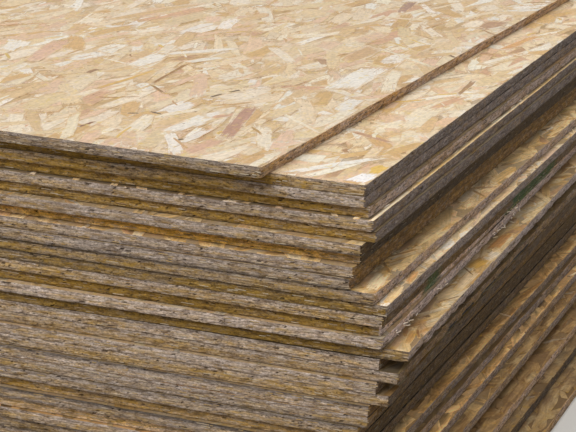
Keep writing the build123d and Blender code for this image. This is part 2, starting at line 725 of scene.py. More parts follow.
def pickTones(total, draw, shades, settings=flakeSettings):
    shares = np.array([share for share, levels in shades])
    tones = np.array([colour(*levels) for share, levels in shades])
    picked = tones[draw.choice(len(shades), total, p=shares / shares.sum())]
    light = draw.uniform(*settings["lightSpread"], (total, 1))
    hue = draw.uniform(*settings["hueSpread"], (total, 3))
    return picked * light * hue


def turned(x, y, turn):
    return x * np.cos(turn) - y * np.sin(turn), x * np.sin(turn) + y * np.cos(turn)


def meshFromArrays(points, faces, cornerTones, cornerGrain):
    # joined flakes; each keeps its tone and its grain on its corners
    mesh = bpy.data.meshes.new("flakes")
    mesh.from_pydata(points, [], faces)
    mesh.polygons.foreach_set("material_index", np.full(len(faces), flakeSlot, np.int32))
    tones = mesh.color_attributes.new(name="tone", type="FLOAT_COLOR", domain="CORNER")
    tones.data.foreach_set("color", np.asarray(cornerTones, np.float32).ravel())
    grain = mesh.uv_layers.new(name="grain")
    grain.data.foreach_set("uv", np.asarray(cornerGrain, np.float32).ravel())
    return mesh


def layFlakes(kind, rows, tones, top, settings, draw):
    # copies of the torn shapes, each scaled, turned and set just under the board's face
    shapes, flakeFaces = kind
    total = len(rows)
    across, along, length, width, turn, depth = (column[:, None] for column in rows.T)
    shape = shapes[draw.integers(0, len(shapes), total)]
    localX, localY = shape[:, :, 0] * width, shape[:, :, 1] * length
    tilt = draw.uniform(-settings["tilt"], settings["tilt"], (total, 2))
    rise = tilt[:, :1] * shape[:, :, 0] + tilt[:, 1:] * shape[:, :, 1]
    turnedX, turnedY = turned(localX, localY, turn)
    height = top - np.maximum(depth - rise, settings["leastDepth"]) + shape[:, :, 2] * settings["thick"]
    points = np.stack([across + turnedX, along + turnedY, height], axis=2)
    offsets = np.arange(total) * shape.shape[1]
    faces = [[index + offset for index in face] for offset in offsets.tolist() for face in flakeFaces]
    corners = np.concatenate([np.array(face) for face in flakeFaces])
    grainU = localY[:, corners] + draw.uniform(0, settings["grainShift"], (total, 1))
    grainV = localX[:, corners] + draw.uniform(0, settings["grainShift"], (total, 1))
    cornerTones = np.zeros((total, len(corners), 4))
    cornerTones[:, :, :3] = tones[:, None, :]
    cornerTones[:, :, 3] = corners == rimPoints  # the middle point; the tone fades out from there
    grain = np.stack([grainU, grainV], axis=2)
    return meshFromArrays(points.reshape(-1, 3).tolist(), faces, cornerTones, grain)


def outlineOf(rows, reach=1.0):
    # the ends and sides of each flake as flat points, to see what it crosses
    across, along, length, width, turn = rows.T[:5]
    spots = []
    for sideX, sideY in ((0, 0), (1, 1), (1, -1), (-1, 1), (-1, -1), (0, 1), (0, -1), (1, 0), (-1, 0)):
        spotX, spotY = turned(sideX * width / 2 * reach, sideY * length / 2 * reach, turn)
        spots.append(np.stack([across + spotX, along + spotY], axis=1))
    return np.stack(spots, axis=1)


# Sawn edges

edgeSettings = {
    "front": ((0.44, 2 * mm), (1.25, 10 * mm)),  # up to so far from the front right corner, so fine
    "right": ((0.30, 4 * mm), (1.0, 8 * mm), (2.5, 30 * mm)),
    "back": ((1.25, 25 * mm),),
    "left": ((2.5, 40 * mm),),
    "rows": 8,
    "rowShades": (0.34, 0.6, 0.86, 1, 1.08, 1.1, 1.08, 1, 0.86),  # front and back, lowest row first
    "rowWeather": (-0.05, -0.08, -0.14, -0.2, -0.16, -0.06, 0.12, 0.26, 0.3),  # how much greyer
    "lipRows": (0, 0, 0, 0, 0, 0.15, 0.5, 0.9, 1),  # how far down an overhang's shade reaches
    "lipEnd": 0.45,  # metres from the corner
    "joint": (0.55, 0.6, 0.2),  # how dark the joints are, how much that varies, and over what distance
    "jointLimits": (0.08, 1),
    "weather": 0.95,  # in the open
    "sheltered": 0.85,  # less of it where it is sheltered, which turns the edge golden: partly less weathering, partly painted shade and bounce light
    "weatherLimits": (0.03, 1),
    "shareLimits": (0.02, 1),  # of one cut flake's weathering
    "shelterShares": (1.0, 0.8, 0.5),  # of the next board above and of the two over it
    "standsOut": (25 * mm, (0.2, 0.5, 0.8, 1)),  # looked at over this far inward, at these shares
    "evenOver": (-36, -18, 0, 18, 36),  # mm along the edge
    "flush": 8 * mm,  # boards that end this close to each other make one wall
    "patchy": (0.18, 0.05),  # how much the weathering varies along an edge, and over what distance
    "uneven": 0.55,  # from one cut flake to the next
    "contrast": 0.8,
    "longSideShade": (0.3, 0.28),  # darker where sheltered, lighter where it stands out
    "longSideRows": (0.84, 1.2),  # from the lower rim to the upper
    "longSideWorn": 0.7,
    "faceRows": 0.22,  # rows further than this from the middle are the face layers
    "stubLength": (3 * mm, 11 * mm),  # flakes cut across
    "runLength": (5 * mm, 26 * mm),  # flakes cut along
    "depth": (0.1 * mm, 0.9 * mm),
    "waves": (0.25 * mm, 0.09),  # depth, and distance
    "setBack": 0.25 * mm,
    "rimSetBack": (0.15 * mm, 0.1 * mm),  # more at the lower and the upper rim
    "pitsPerMetre": 30,
    "pitLength": (1 * mm, 5 * mm),
    "pitLeast": 1.01 * mm,  # half a station, so that each pit meets one
    "pitDepth": (0.8 * mm, 2.4 * mm),
    "pitTone": 0.8,
    "stainEnds": (12 * mm, 30 * mm),
    "stainShare": 0.65,  # at least so much of the green
    "slitRows": (2, 3),  # how many rows from the lower rim are deeper, and how many are painted black as shadow in the slit
    "slitDepth": 1.5 * mm,
    "slitShade": 0.02,
    "raggedStep": 0.011,
    "raggedRows": (1, 0.7, 0.4, 0.15),
    "cornerWear": (1.4 * mm, 3.5 * mm),  # depth, and reach from the corner
    "bareInset": 4 * mm,  # where it is tested whether the rim is bare
    "coveredDrop": (0.28 * mm, 0.12 * mm),  # of the upper rim under a board: least, and how much more
    "lowGap": (0.12 * mm, 0.1 * mm),  # of the lower rim over the board's lowest point
    "jointShade": 0.45,
    "seam": 0.002 * mm,
    "bedInset": 3 * mm,
}
edgeTones = {
    "goldDark": (130, 97, 38),
    "goldLight": (214, 172, 82),
    "brownDark": (88, 62, 24),  # long sides where sheltered: a darker gold, partly painted shade
    "brownLight": (156, 116, 52),
    "greyDark": (150, 132, 119),
    "greyLight": (211, 196, 186),
    # slate: the long sides' weathered grey, darker and cooler than the ends' grey, partly painted shade
    "slateDark": (98, 88, 87),
    "slateLight": (150, 138, 135),
    "pit": (40, 28, 16),
    "green": (26, 86, 32),
}


def edgeTone(name, bright=None):
    # one tone, or for a pair the tone between its dark and its light one
    if bright is None:
        return colour(*edgeTones[name])
    return between(colour(*edgeTones[name + "Dark"]), colour(*edgeTones[name + "Light"]), bright)


def stationsFrom(plan, total):
    # distances from the corner, closer together near it
    marks, reached = [0.0], 0.0
    for limit, step in plan:
        limit = min(limit, total)
        count = max(1, round((limit - reached) / step))
        marks += list(np.linspace(reached, limit, count + 1)[1:])
        reached = limit
    marks[-1] = total
    return np.array(marks)


def walkAround(place, settings):
    # once round the board from its rear left corner: side, distance along it, points and outward way
    width, length = place["width"], place["length"]
    left = stationsFrom(settings["left"], length)
    front = width - stationsFrom(settings["front"], width)[::-1]
    right = stationsFrom(settings["right"], length)
    back = stationsFrom(settings["back"], width)
    return (
        ("left", left, np.stack([-width + 0 * left, length - left], axis=1), (-1, 0)),
        ("front", front, np.stack([front - width, 0 * front], axis=1), (0, -1)),
        ("right", right, np.stack([0 * right, right], axis=1), (1, 0)),
        ("back", back, np.stack([-back, length + 0 * back], axis=1), (0, 1)),
    )


def shelterOf(points, outward, place, above):
    # 0 in the open, 1 where the boards above stand out over this one
    shelter = np.zeros(len(points))
    for count, (upper, share) in enumerate(zip(above, edgeSettings["shelterShares"])):
        height = (count + 0.5) * (place["top"] - place["low"])
        spots = intoBoard(points, place, upper)
        reach = {
            (-1, 0): spots[:, 0] + upper["width"],
            (1, 0): -spots[:, 0],
            (0, -1): spots[:, 1],
            (0, 1): upper["length"] - spots[:, 1],
        }[outward]
        covered = np.where(inside(spots, upper), reach, 0)
        shelter = np.maximum(shelter, np.clip(covered / height, 0, 1) * share)
    return shelter


def standingOut(points, outward, place, above):
    # 0 where a face is flush with the boards above, 1 where it stands well out from them
    if not above:
        return np.ones(len(points))
    reach, shares = edgeSettings["standsOut"]
    reach = np.array(outward) * reach
    steps = [intoBoard(points - reach * share, place, above[0]) for share in shares]
    return np.mean([~inside(step, above[0]) for step in steps], axis=0)


def evenedOut(measure, points, outward, place, above):
    # the mean over a hand's breadth of edge
    along = np.array([-outward[1], outward[0]], float)
    return np.mean([measure(points + along * shift * mm, outward, place, above)
                    for shift in edgeSettings["evenOver"]], axis=0)


def cellValues(marks, lengths, draw):
    # a random value for each stretch of random length, read at the marks
    total = marks[-1]
    ends = np.cumsum(draw.uniform(*lengths, int(total / lengths[0]) + 2)) - draw.uniform(0, lengths[1])
    return draw.random(len(ends))[np.minimum(np.searchsorted(ends, marks), len(ends) - 1)]


def waver(marks, step, draw):
    # soft random wave between -1 and 1
    knots = np.arange(-step, marks[-1] + 2 * step, step)
    return np.interp(marks, knots, draw.uniform(-1, 1, len(knots)))


def rowShadesOf(side, marks, shade, looks, settings, draw):
    # each row's shade: darkest at the joint below, and under the lip of a board above
    joint = 0 * marks
    if side in ("front", "back"):
        usual, varied, step = settings["joint"]
        joint = np.clip(usual + varied * waver(marks, step, draw), *settings["jointLimits"])
    joint = joint * looks.get("joint", 1)
    shades = np.minimum(shade, 1) * (1 + (np.array(settings["rowShades"])[:, None] - 1) * joint)
    if side == "front":
        lip = np.interp(marks[-1] - marks, (0, settings["lipEnd"]), looks.get("lip", (1, 1)))
        shades = shades * lip ** np.array(settings["lipRows"])[:, None]
    return shades


def paintRow(row, side, marks, weather, shade, looks, settings, draw):
    # one row of cut flakes: depth, tone, and how weathered it is
    rows, endsCut = settings["rows"], side in ("front", "back")
    faceRow = abs(row / rows - 0.5) > settings["faceRows"]
    lengths = settings["stubLength"] if faceRow == endsCut else settings["runLength"]
    layer, worn, bright = (cellValues(marks, lengths, draw) for value in range(3))
    share = weather + (settings["rowWeather"][row] if endsCut else 0) + (worn - 0.5) * settings["uneven"]
    share = np.clip(share, *settings["shareLimits"])[:, None]
    bright = (0.5 + (bright - 0.5) * settings["contrast"])[:, None]
    # long sides take the darker brown and slate tones, partly as painted shade on the sides turned from the
    # lamp
    fresh, old = ("gold", "grey") if endsCut else ("brown", "slate")
    tone = between(edgeTone(fresh, bright), edgeTone(old, bright), share) * np.maximum(shade, 1)[:, None]
    if side == "right":
        tone *= between(*settings["longSideRows"], row / rows)
    alpha = share[:, 0] if endsCut else np.maximum(share[:, 0], settings["longSideWorn"])
    for start, end in looks.get(side + "Stains", ()):
        fadeIn, fadeOut = settings["stainEnds"]
        wet = np.clip((marks - start) / fadeIn, 0, 1) * np.clip((end - marks) / fadeOut, 0, 1)
        wet = (wet * between(settings["stainShare"], 1, layer))[:, None]
        tone = between(tone, edgeTone("green"), wet)
        alpha = between(alpha, 1.0, wet[:, 0])
    return between(*settings["depth"], layer ** 2), tone, alpha


def sawnSide(side, marks, points, outward, place, above, looks, settings, draw):
    # one side of the sawn edge: what it has at each station, and at each row and station
    rows, count = settings["rows"], len(marks)
    shelter = evenedOut(shelterOf, points, outward, place, above)
    # sheltered stretches come out less weathered and golden brown, partly real and partly painted shade and
    # bounce light under the overhang
    weather = settings["weather"] - settings["sheltered"] * shelter + looks.get(side, 0)
    weather = np.clip(weather, *settings["weatherLimits"])
    shade = looks.get(side + "Shade", 1) * np.ones(count)
    if side in ("right", "left"):
        darker, lighter = settings["longSideShade"]
        out = evenedOut(standingOut, points, outward, place, above)
        shade *= (1 - darker * shelter) * (1 + lighter * out)
    waveDepth, waveStep = settings["waves"]
    wave = waver(marks, waveStep, draw) * waveDepth
    shades = rowShadesOf(side, marks, shade, looks, settings, draw)
    patchShare, patchStep = settings["patchy"]
    weather = weather + waver(marks, patchStep, draw) * patchShare
    painted = [paintRow(row, side, marks, weather, shade, looks, settings, draw) for row in range(rows + 1)]
    depth, tones, alphas = (np.array(part) for part in zip(*painted))
    # pits are cut in, and their tone and shade are darkened as painted shade in the holes
    for pit in range(int(settings["pitsPerMetre"] * marks[-1])):
        middle, half = draw.uniform(0, marks[-1]), draw.uniform(*settings["pitLength"]) / 2
        row, deep = draw.integers(1, rows), draw.uniform(*settings["pitDepth"])
        hit = np.abs(marks - middle) <= max(half, settings["pitLeast"])
        depth[row, hit] = deep
        tones[row, hit] = between(tones[row, hit], edgeTone("pit"), settings["pitTone"])
        shades[row, hit] *= settings["pitTone"]
    lowRim, highRim = settings["rimSetBack"]
    depth[0] += lowRim
    depth[rows] += highRim
    depth += wave + settings["setBack"]
    deepRows, darkRows = settings["slitRows"]
    # slits are cut in a little and painted black: painted shadow in the gap
    for start, end in looks.get(side + "Slits", ()):
        slit = (marks > start) & (marks < end)
        depth[:deepRows, slit] = settings["slitDepth"]
        tones[:darkRows, slit] = edgeTone("pit")
        shades[:darkRows, slit] = settings["slitShade"]
    if looks.get(side + "Ragged"):
        torn = np.maximum(waver(marks, settings["raggedStep"], draw), 0) * looks[side + "Ragged"]
        shares = np.array(settings["raggedRows"])[:, None]
        depth[:len(shares)] += torn * shares
    wear, reach = settings["cornerWear"]
    nearest = np.minimum(marks, marks[-1] - marks)
    depth += wear * looks.get("blunt", 1) * np.exp(-nearest / reach)
    outward = np.tile(np.array(outward, float), (count, 1))
    return {"points": points, "outward": outward}, {
        "depth": depth, "tones": tones, "alphas": alphas, "shades": shades,
    }


def sawnBand(place, above, looks, settings, draw):
    # the sawn edge all round a board, its four sides joined; where two sides meet, the shared corner
    # goes inward both ways
    sides = [sawnSide(*side, place, above, looks, settings, draw) for side in walkAround(place, settings)]
    starts = np.cumsum([0] + [len(plan["points"]) for plan, rows in sides])[:-1]
    band = {key: np.concatenate([plan[key] for plan, rows in sides]) for key in sides[0][0]}
    for key in sides[0][1]:
        band[key] = np.concatenate([rows[key] for plan, rows in sides], axis=1)
    inward = -band["outward"][None] * band["depth"][:, :, None]
    for start in starts:
        corner = inward[:, start] + inward[:, start - 1]
        inward[:, start] = corner
        inward[:, start - 1] = corner
        for key in ("tones", "shades"):
            band[key][:, start - 1] = band[key][:, start]
    band["spots"] = band["points"] + inward
    return band, starts


def footShade(points, place, above, atFoot, inOpen, reaches):
    # darkens a broad face beside the foot of a wall of boards, further out where the wall is higher
    if not above:
        return np.ones(len(points))
    distances = []
    for upper in above:
        spots = intoBoard(points, place, upper)
        side = np.maximum(spots[:, 0], -spots[:, 0] - upper["width"])
        end = np.maximum(-spots[:, 1], spots[:, 1] - upper["length"])
        distances.append(np.maximum(side, end))
    wall = np.ones(len(points))
    for further in distances[1:]:
        wall += further - distances[0] < edgeSettings["flush"]
    reach = between(*reaches, (wall - 1) / 2)
    fade = np.clip(distances[0] / reach, 0, 1)
    return between(atFoot, inOpen, fade ** 2 * (3 - 2 * fade))


def coveredJoints(bed, place, above, settings):
    # faces beside the bed on the long sides, where the board above covers them; they get the pit tone as
    # painted shadow in the gap
    if not above:
        return set()
    ring = [face for edge in bed.edges for face in edge.link_faces if face != bed]
    centres = np.array([face.calc_center_median().xy[:] for face in ring])
    covered = inside(intoBoard(centres, place, above[0]), above[0])
    fromMiddle = np.abs(centres[:, 0] + place["width"] / 2)
    onLongSide = fromMiddle > place["width"] / 2 - settings["bedInset"]
    return {face for face, dark in zip(ring, covered & onLongSide) if dark}


def buildBand(place, above, looks, bedTone, bedShade, settings, draw):
    # bends a grid into the sawn edge and closes it above and below by the pressed faces
    rows = settings["rows"]
    band, starts = sawnBand(place, above, looks, settings, draw)
    points, outward, shades = band["points"], band["outward"], band["shades"]
    total = len(points)
    bare = np.ones(total, bool)
    if above:
        bare = ~inside(intoBoard(points - outward * settings["bareInset"], place, above[0]), above[0])
    shades[rows, (outward[:, 0] != 0) & ~bare] *= settings["jointShade"]
    least, more = settings["coveredDrop"]
    rimDrop = np.where(bare, flakeSettings["bedDrop"], least + more * draw.random(total))
    rimDrop[starts - 1] = rimDrop[starts]
    least, more = settings["lowGap"]
    low = place["low"] + least + more * draw.random(total)
    low[starts - 1] = low[starts]
    bm = bmesh.new()
    pointTone = bm.verts.layers.float_color.new("pointTone")
    shadeLayer = bm.verts.layers.float.new("shade")
    toneLayer = bm.loops.layers.float_color.new("tone")
    grainLayer = bm.loops.layers.uv.new("grain")
    bmesh.ops.create_grid(bm, x_segments=total - 1, y_segments=rows, size=1.0)
    for vert in bm.verts:
        station = round((vert.co.x + 1) / 2 * (total - 1))
        row = round((vert.co.y + 1) / 2 * rows)
        high = place["top"] - rimDrop[station]
        vert.co = (*band["spots"][row, station], low[station] + (high - low[station]) * row / rows)
        vert[pointTone] = (*band["tones"][row, station], band["alphas"][row, station])
        vert[shadeLayer] = shades[row, station]
    for face in bm.faces:
        face.material_index = edgeSlot
    bmesh.ops.remove_doubles(bm, verts=bm.verts[:], dist=settings["seam"])
    openEdges = [edge for edge in bm.edges if edge.is_boundary]
    lids = bmesh.ops.holes_fill(bm, edges=openEdges, sides=0)["faces"]
    for lid in lids:
        lid.material_index = bedSlot
    upper = max(lids, key=lambda lid: lid.calc_center_median().z)
    bed = bmesh.ops.extrude_discrete_faces(bm, faces=[upper])["faces"][0]
    bed.material_index = bedSlot
    bmesh.ops.recalc_face_normals(bm, faces=bm.faces[:])
    middle = Vector((-place["width"] / 2, place["length"] / 2, 0))
    for vert in bed.verts:
        vert.co.x = middle.x + (vert.co.x - middle.x) * (1 - settings["bedInset"] / place["width"])
        vert.co.y = middle.y + (vert.co.y - middle.y) * (1 - settings["bedInset"] / place["length"])
        vert.co.z = place["top"] - flakeSettings["bedDrop"]
        vert[shadeLayer] = bedShade
    # covered joint faces take the dark pit tone: painted shadow in the narrow gap
    shadedJoints = coveredJoints(bed, place, above, settings)
    for face in bm.faces:
        if face in shadedJoints:
            face.material_index = edgeSlot
        for loop in face.loops:
            tone = loop.vert[pointTone] if face.material_index == edgeSlot else bedTone
            loop[toneLayer] = (*edgeTone("pit"), 1) if face in shadedJoints else tuple(tone)
            loop[grainLayer].uv = (loop.vert.co.y, loop.vert.co.x)
    bm.verts.layers.float_color.remove(pointTone)
    rim = {
        "points": points,
        "tones": band["tones"][rows] * shades[rows][:, None],
        "alphas": band["alphas"][rows],
    }
    return bm, rim


rimSettings = {
    "inset": 0.12 * mm,
    "shades": (0.75, 1.15),
    "setBack": 1.8 * mm,
    "reach": 1.4,  # of a flake's size, to be sure that it lies clear of the rim
    "clear": 0.5 * mm,
}


def byPlace(face):
    return tuple(round(level, 6) for level in face.calc_center_median())


def cutAtRim(mesh, place, rim, settings, draw):
    # flakes that reach over the sawn edge are cut there; each cut face takes the edge's tone
    bm = bmesh.new()
    bm.from_mesh(mesh)
    inset = settings["inset"]
    cuts = (
        ((-inset, 0, 0), (1, 0, 0)),
        ((inset - place["width"], 0, 0), (-1, 0, 0)),
        ((0, inset, 0), (0, -1, 0)),
        ((0, place["length"] - inset, 0), (0, 1, 0)),
    )
    toneLayer = bm.loops.layers.float_color["tone"]
    for spot, outward in cuts:
        whole = bm.verts[:] + bm.edges[:] + bm.faces[:]
        cut = bmesh.ops.bisect_plane(bm, geom=whole, plane_co=spot, plane_no=outward, clear_outer=True)
        edges = [part for part in cut["geom_cut"] if isinstance(part, bmesh.types.BMEdge)]
        faces = bmesh.ops.holes_fill(bm, edges=edges, sides=0)["faces"]
        for face in sorted(faces, key=byPlace):
            face.material_index = edgeSlot
            centre = np.array(face.calc_center_median()[:2])
            near = np.abs(rim["points"] - centre).sum(axis=1).argmin()
            tone = rim["tones"][near] * draw.uniform(*settings["shades"])
            for loop in face.loops:
                loop[toneLayer] = (*tone, rim["alphas"][near])
            back = Vector(outward) * draw.random() ** 2 * settings["setBack"]
            for vert in face.verts:
                vert.co -= back
    bmesh.ops.recalc_face_normals(bm, faces=bm.faces[:])
    bm.to_mesh(mesh)
    bm.free()


def bareOnly(rows, place, above):
    # leaves out the flakes that lie off the board or wholly under the board above
    spots = outlineOf(rows)
    kept = inside(spots, place, 1 * mm)
    if above:
        upper = intoBoard(spots.reshape(-1, 2), place, above[0]).reshape(spots.shape)
        kept &= ~inside(upper, above[0], -1 * mm)
    return rows[kept.any(axis=1)]


def addFlakes(bm, kind, rows, tones, place, rim, draw):
    reaching = outlineOf(rows, rimSettings["reach"])
    crossing = ~inside(reaching, place, rimSettings["clear"]).all(axis=1)
    for chosen, cutThem in ((~crossing, False), (crossing, True)):
        if not chosen.any():
            continue
        mesh = layFlakes(kind, rows[chosen], tones[chosen], place["top"], flakeSettings, draw)
        if cutThem:
            cutAtRim(mesh, place, rim, rimSettings, draw)
        bm.from_mesh(mesh)
        bpy.data.meshes.remove(mesh)


# Loose fibres

looseSettings = {
    "margins": (1.2 * mm, 1.2 * mm),  # from the board's lower and upper face
    "front": {"reach": 0.5, "count": 45, "level": 0.95, "shade": 0.85},  # reach from the corner, metres
    # on the right side the frays are darker in tone and in shade: painted shade, as that side is turned
    # from the lamp
    "right": {"reach": 1.1, "count": 30, "level": 0.5, "shade": 0.4},
    "crowding": 1.4,  # towards the corner
    "length": (3 * mm, 15 * mm),
    "width": (0.6 * mm, 1.5 * mm),
    "raised": (-0.5 * mm, 0.1 * mm),
    "lean": 6,
    "within": 0.05 * mm,
}
frayTones = (
    (0.4, (222, 208, 186)),
    (0.3, (206, 176, 124)),
    (0.2, (188, 160, 130)),
    (0.1, (96, 72, 48)),
)
tuftSettings = {
    "margins": (1.2 * mm, 1 * mm),
    "out": (-1 * mm, 2.5 * mm),
    "length": (4 * mm, 12 * mm),
    "width": (0.5 * mm, 1.2 * mm),
    "lean": 26,
    "shade": 1.5,
    "tones": ((0.6, (244, 240, 232)), (0.4, (206, 190, 166))),
}


def drawHeights(place, settings, count, draw):
    lower, upper = settings["margins"]
    return draw.uniform(place["low"] + lower, place["top"] - upper, count)[:, None]


def addLoose(bm, mesh, shade):
    # fibres keep their own tone out to their rims, and their own shade
    corners = mesh.color_attributes["tone"].data
    tones = readValues(corners, "color", 4)
    tones[3::4] = 1
    corners.foreach_set("color", tones)
    shades = mesh.attributes.new("shade", "FLOAT", "POINT")
    shades.data.foreach_set("value", np.full(len(mesh.vertices), shade, np.float32))
    bm.from_mesh(mesh)
    bpy.data.meshes.remove(mesh)


def addTufts(bm, place, looks, settings, draw):
    # pale fibres that stand out from a torn long side
    for start, end, count in looks.get("tufts", ()):
        rows = np.column_stack([
            draw.uniform(*settings["out"], count),
            draw.uniform(start, end, count),
            draw.uniform(*settings["length"], count),
            draw.uniform(*settings["width"], count),
            np.radians(draw.normal(0, settings["lean"], count)),
            np.zeros(count),
        ])
        heights = drawHeights(place, settings, count, draw)
        tones = pickTones(count, draw, settings["tones"])
        addLoose(bm, layFlakes(sliverKind, rows, tones, heights, flakeSettings, draw), settings["shade"])


def addFrays(bm, place, settings, draw):
    # small loose fibres on the sawn faces near the front right corner
    for side in ("front", "right"):
        count = settings[side]["count"]
        along = settings[side]["reach"] * draw.random(count) ** settings["crowding"]
        inward = -draw.uniform(*settings["raised"], count)
        length, width = draw.uniform(*settings["length"], count), draw.uniform(*settings["width"], count)
        lean = np.radians(draw.normal(0, settings["lean"], count))
        if side == "front":
            rows = np.column_stack([-along, inward, length, width, lean + math.pi / 2, 0 * along])
        else:
            rows = np.column_stack([-inward, along, length, width, lean, 0 * along])
        heights = drawHeights(place, settings, count, draw)
        tones = pickTones(count, draw, frayTones) * settings[side]["level"]
        mesh = layFlakes(straightKind, rows, tones, heights, flakeSettings, draw)
        points = readValues(mesh.vertices, "co", 3)
        points[0::3] = np.minimum(points[0::3], -settings["within"])
        points[1::3] = np.maximum(points[1::3], settings["within"])
        mesh.vertices.foreach_set("co", points)
        addLoose(bm, mesh, settings[side]["shade"])


# Marks that stand out, each by its middle: mm left of and behind the board's front right corner,
# then length, width, degrees from the long side, tone

reddish, salmon, palest, cream = (182, 138, 118), (214, 174, 148), (240, 234, 224), (236, 222, 194)
golden, sandy, dark, brown = (214, 176, 112), (232, 206, 156), (74, 54, 36), (150, 112, 80)
flakeMarks = {
    "panel_34": (
        (96, 172, 172, 19, 12, reddish),
        (84, 52, 74, 20, -2, salmon),
        (240, 62, 124, 15, 22, cream),
        (444, 400, 146, 24, 11, (222, 184, 160)),
        (64, 462, 165, 42, 2, palest),
        (137, 135, 92, 26, -4, palest),
        (316, 420, 98, 30, 1, palest),
        (388, 398, 78, 26, -10, palest),
        (108, 598, 112, 26, -1, (204, 168, 126)),
        (420, 712, 158, 20, -13, (216, 172, 138)),
        (450, 712, 200, 18, -14, (214, 180, 134)),
        (170, 968, 108, 17, 9, (168, 134, 120)),
        (52, 614, 132, 9, 51, (238, 228, 206)),
    ),
    "panel_33": (
        (55, 62, 140, 15, -30, (240, 236, 227)),
        (12, 26, 42, 24, -10, (252, 250, 250)),
        (8, 67, 40, 18, -5, (224, 184, 84)),
        (57, 201, 64, 11, 60, (184, 142, 112)),
        (47, 834, 120, 15, -6, (216, 164, 108)),
        (34, 502, 100, 8, 3, (160, 120, 76)),
    ),
    "panel_24": (
        (21, 422, 80, 16, -2, (232, 214, 188)),
        (12, 40, 70, 18, 4, (236, 216, 176)),
        (14, 230, 90, 14, -3, (230, 202, 152)),
    ),
    "panel_23": (
        (7, 110, 50, 9, 5, (212, 154, 86)),
        (6, 40, 60, 10, 2, (230, 200, 150)),
        (8, 330, 70, 9, 0, (236, 212, 168)),
    ),
    "panel_19": (
        (12, 46, 44, 9, 6, (204, 152, 86)),
        (6, 70, 30, 6, -14, (194, 140, 78)),
        (17, 96, 34, 8, -12, (200, 148, 84)),
        (21, 60, 36, 7, 14, (184, 130, 72)),
        (14, 337, 48, 20, -7, (214, 164, 60)),
        (7, 374, 42, 16, -10, (238, 222, 198)),
        (10, 268, 84, 18, 0, (234, 208, 168)),
        (13, 440, 78, 16, -1, (196, 132, 66)),
    ),
}
sliverMarks = {
    # on the top board, the V crack slivers and the dark dashes paint the shade in cracks and pits
    "panel_34": (
        (262, 364, 148, 5.5, 6, (150, 106, 54)),
        (239, 275, 52, 5, 44, (142, 102, 58)),
        (290, 302, 150, 7, -6, (218, 176, 100)),
        (209, 147, 14, 5.5, -57, dark),
        (188, 162, 20, 5, 74, dark),
        (228, 72, 32, 4.5, -6, (128, 82, 60)),
        (344, 320, 30, 10, -3, brown),
        (167, 278, 26, 5.5, -13, dark),
        (159, 312, 20, 5, -19, dark),
        (115, 64, 10, 4.5, -21, dark),
        (64, 110, 12, 4, -58, (176, 152, 60)),
        (63, 144, 34, 4, 41, (178, 140, 72)),
    ),
    # a row of pale slivers along the rim paints the light on the strip's lit outer edge
    "panel_30": tuple(
        (2.2, 60 + 170 * step, 190, 4, 0, (cream, golden, sandy)[step % 3]) for step in range(14)
    ),
    "panel_24": (
        (12, 435, 32, 5, 45, (150, 110, 68)),
        (16, 90, 44, 4, 26, (158, 116, 66)),
        (20, 150, 50, 4, -24, (170, 124, 70)),
    ),
    "panel_19": (
        (9, 190, 38, 2.4, -24, (140, 98, 54)),
        (14, 121, 9, 7, 0, (70, 48, 28)),
        (20, 306, 42, 2.6, 34, (112, 76, 40)),
        (8, 62, 34, 4, 20, (140, 88, 40)),
        (18, 84, 26, 4, -30, (150, 96, 44)),
    ),
}
markDepths = (0.06, 0.02)  # mm under the face, flakes and slivers


def addMarks(bm, name, place, rim, draw):
    for marks, depth in zip((flakeMarks, sliverMarks), markDepths):
        rows, tones = [], []
        for left, back, long, wide, turn, levels in marks.get(name, ()):
            rows.append((-left * mm, back * mm, long * mm, wide * mm, math.radians(turn), depth * mm))
            tones.append(colour(*levels))
        if rows:
            addFlakes(bm, straightKind, np.array(rows), np.array(tones), place, rim, draw)


# Boards. front and right say how much more or less weathered a side is than its shelter says, and
# their shades how much lighter or darker. strip is the painted light on the bare part of a broad face.
# joint and lip are the shade on the front below and above, lip at the corner and at its far end.
# Stains, slits and tufts each have where they start and end, in metres from the corner.

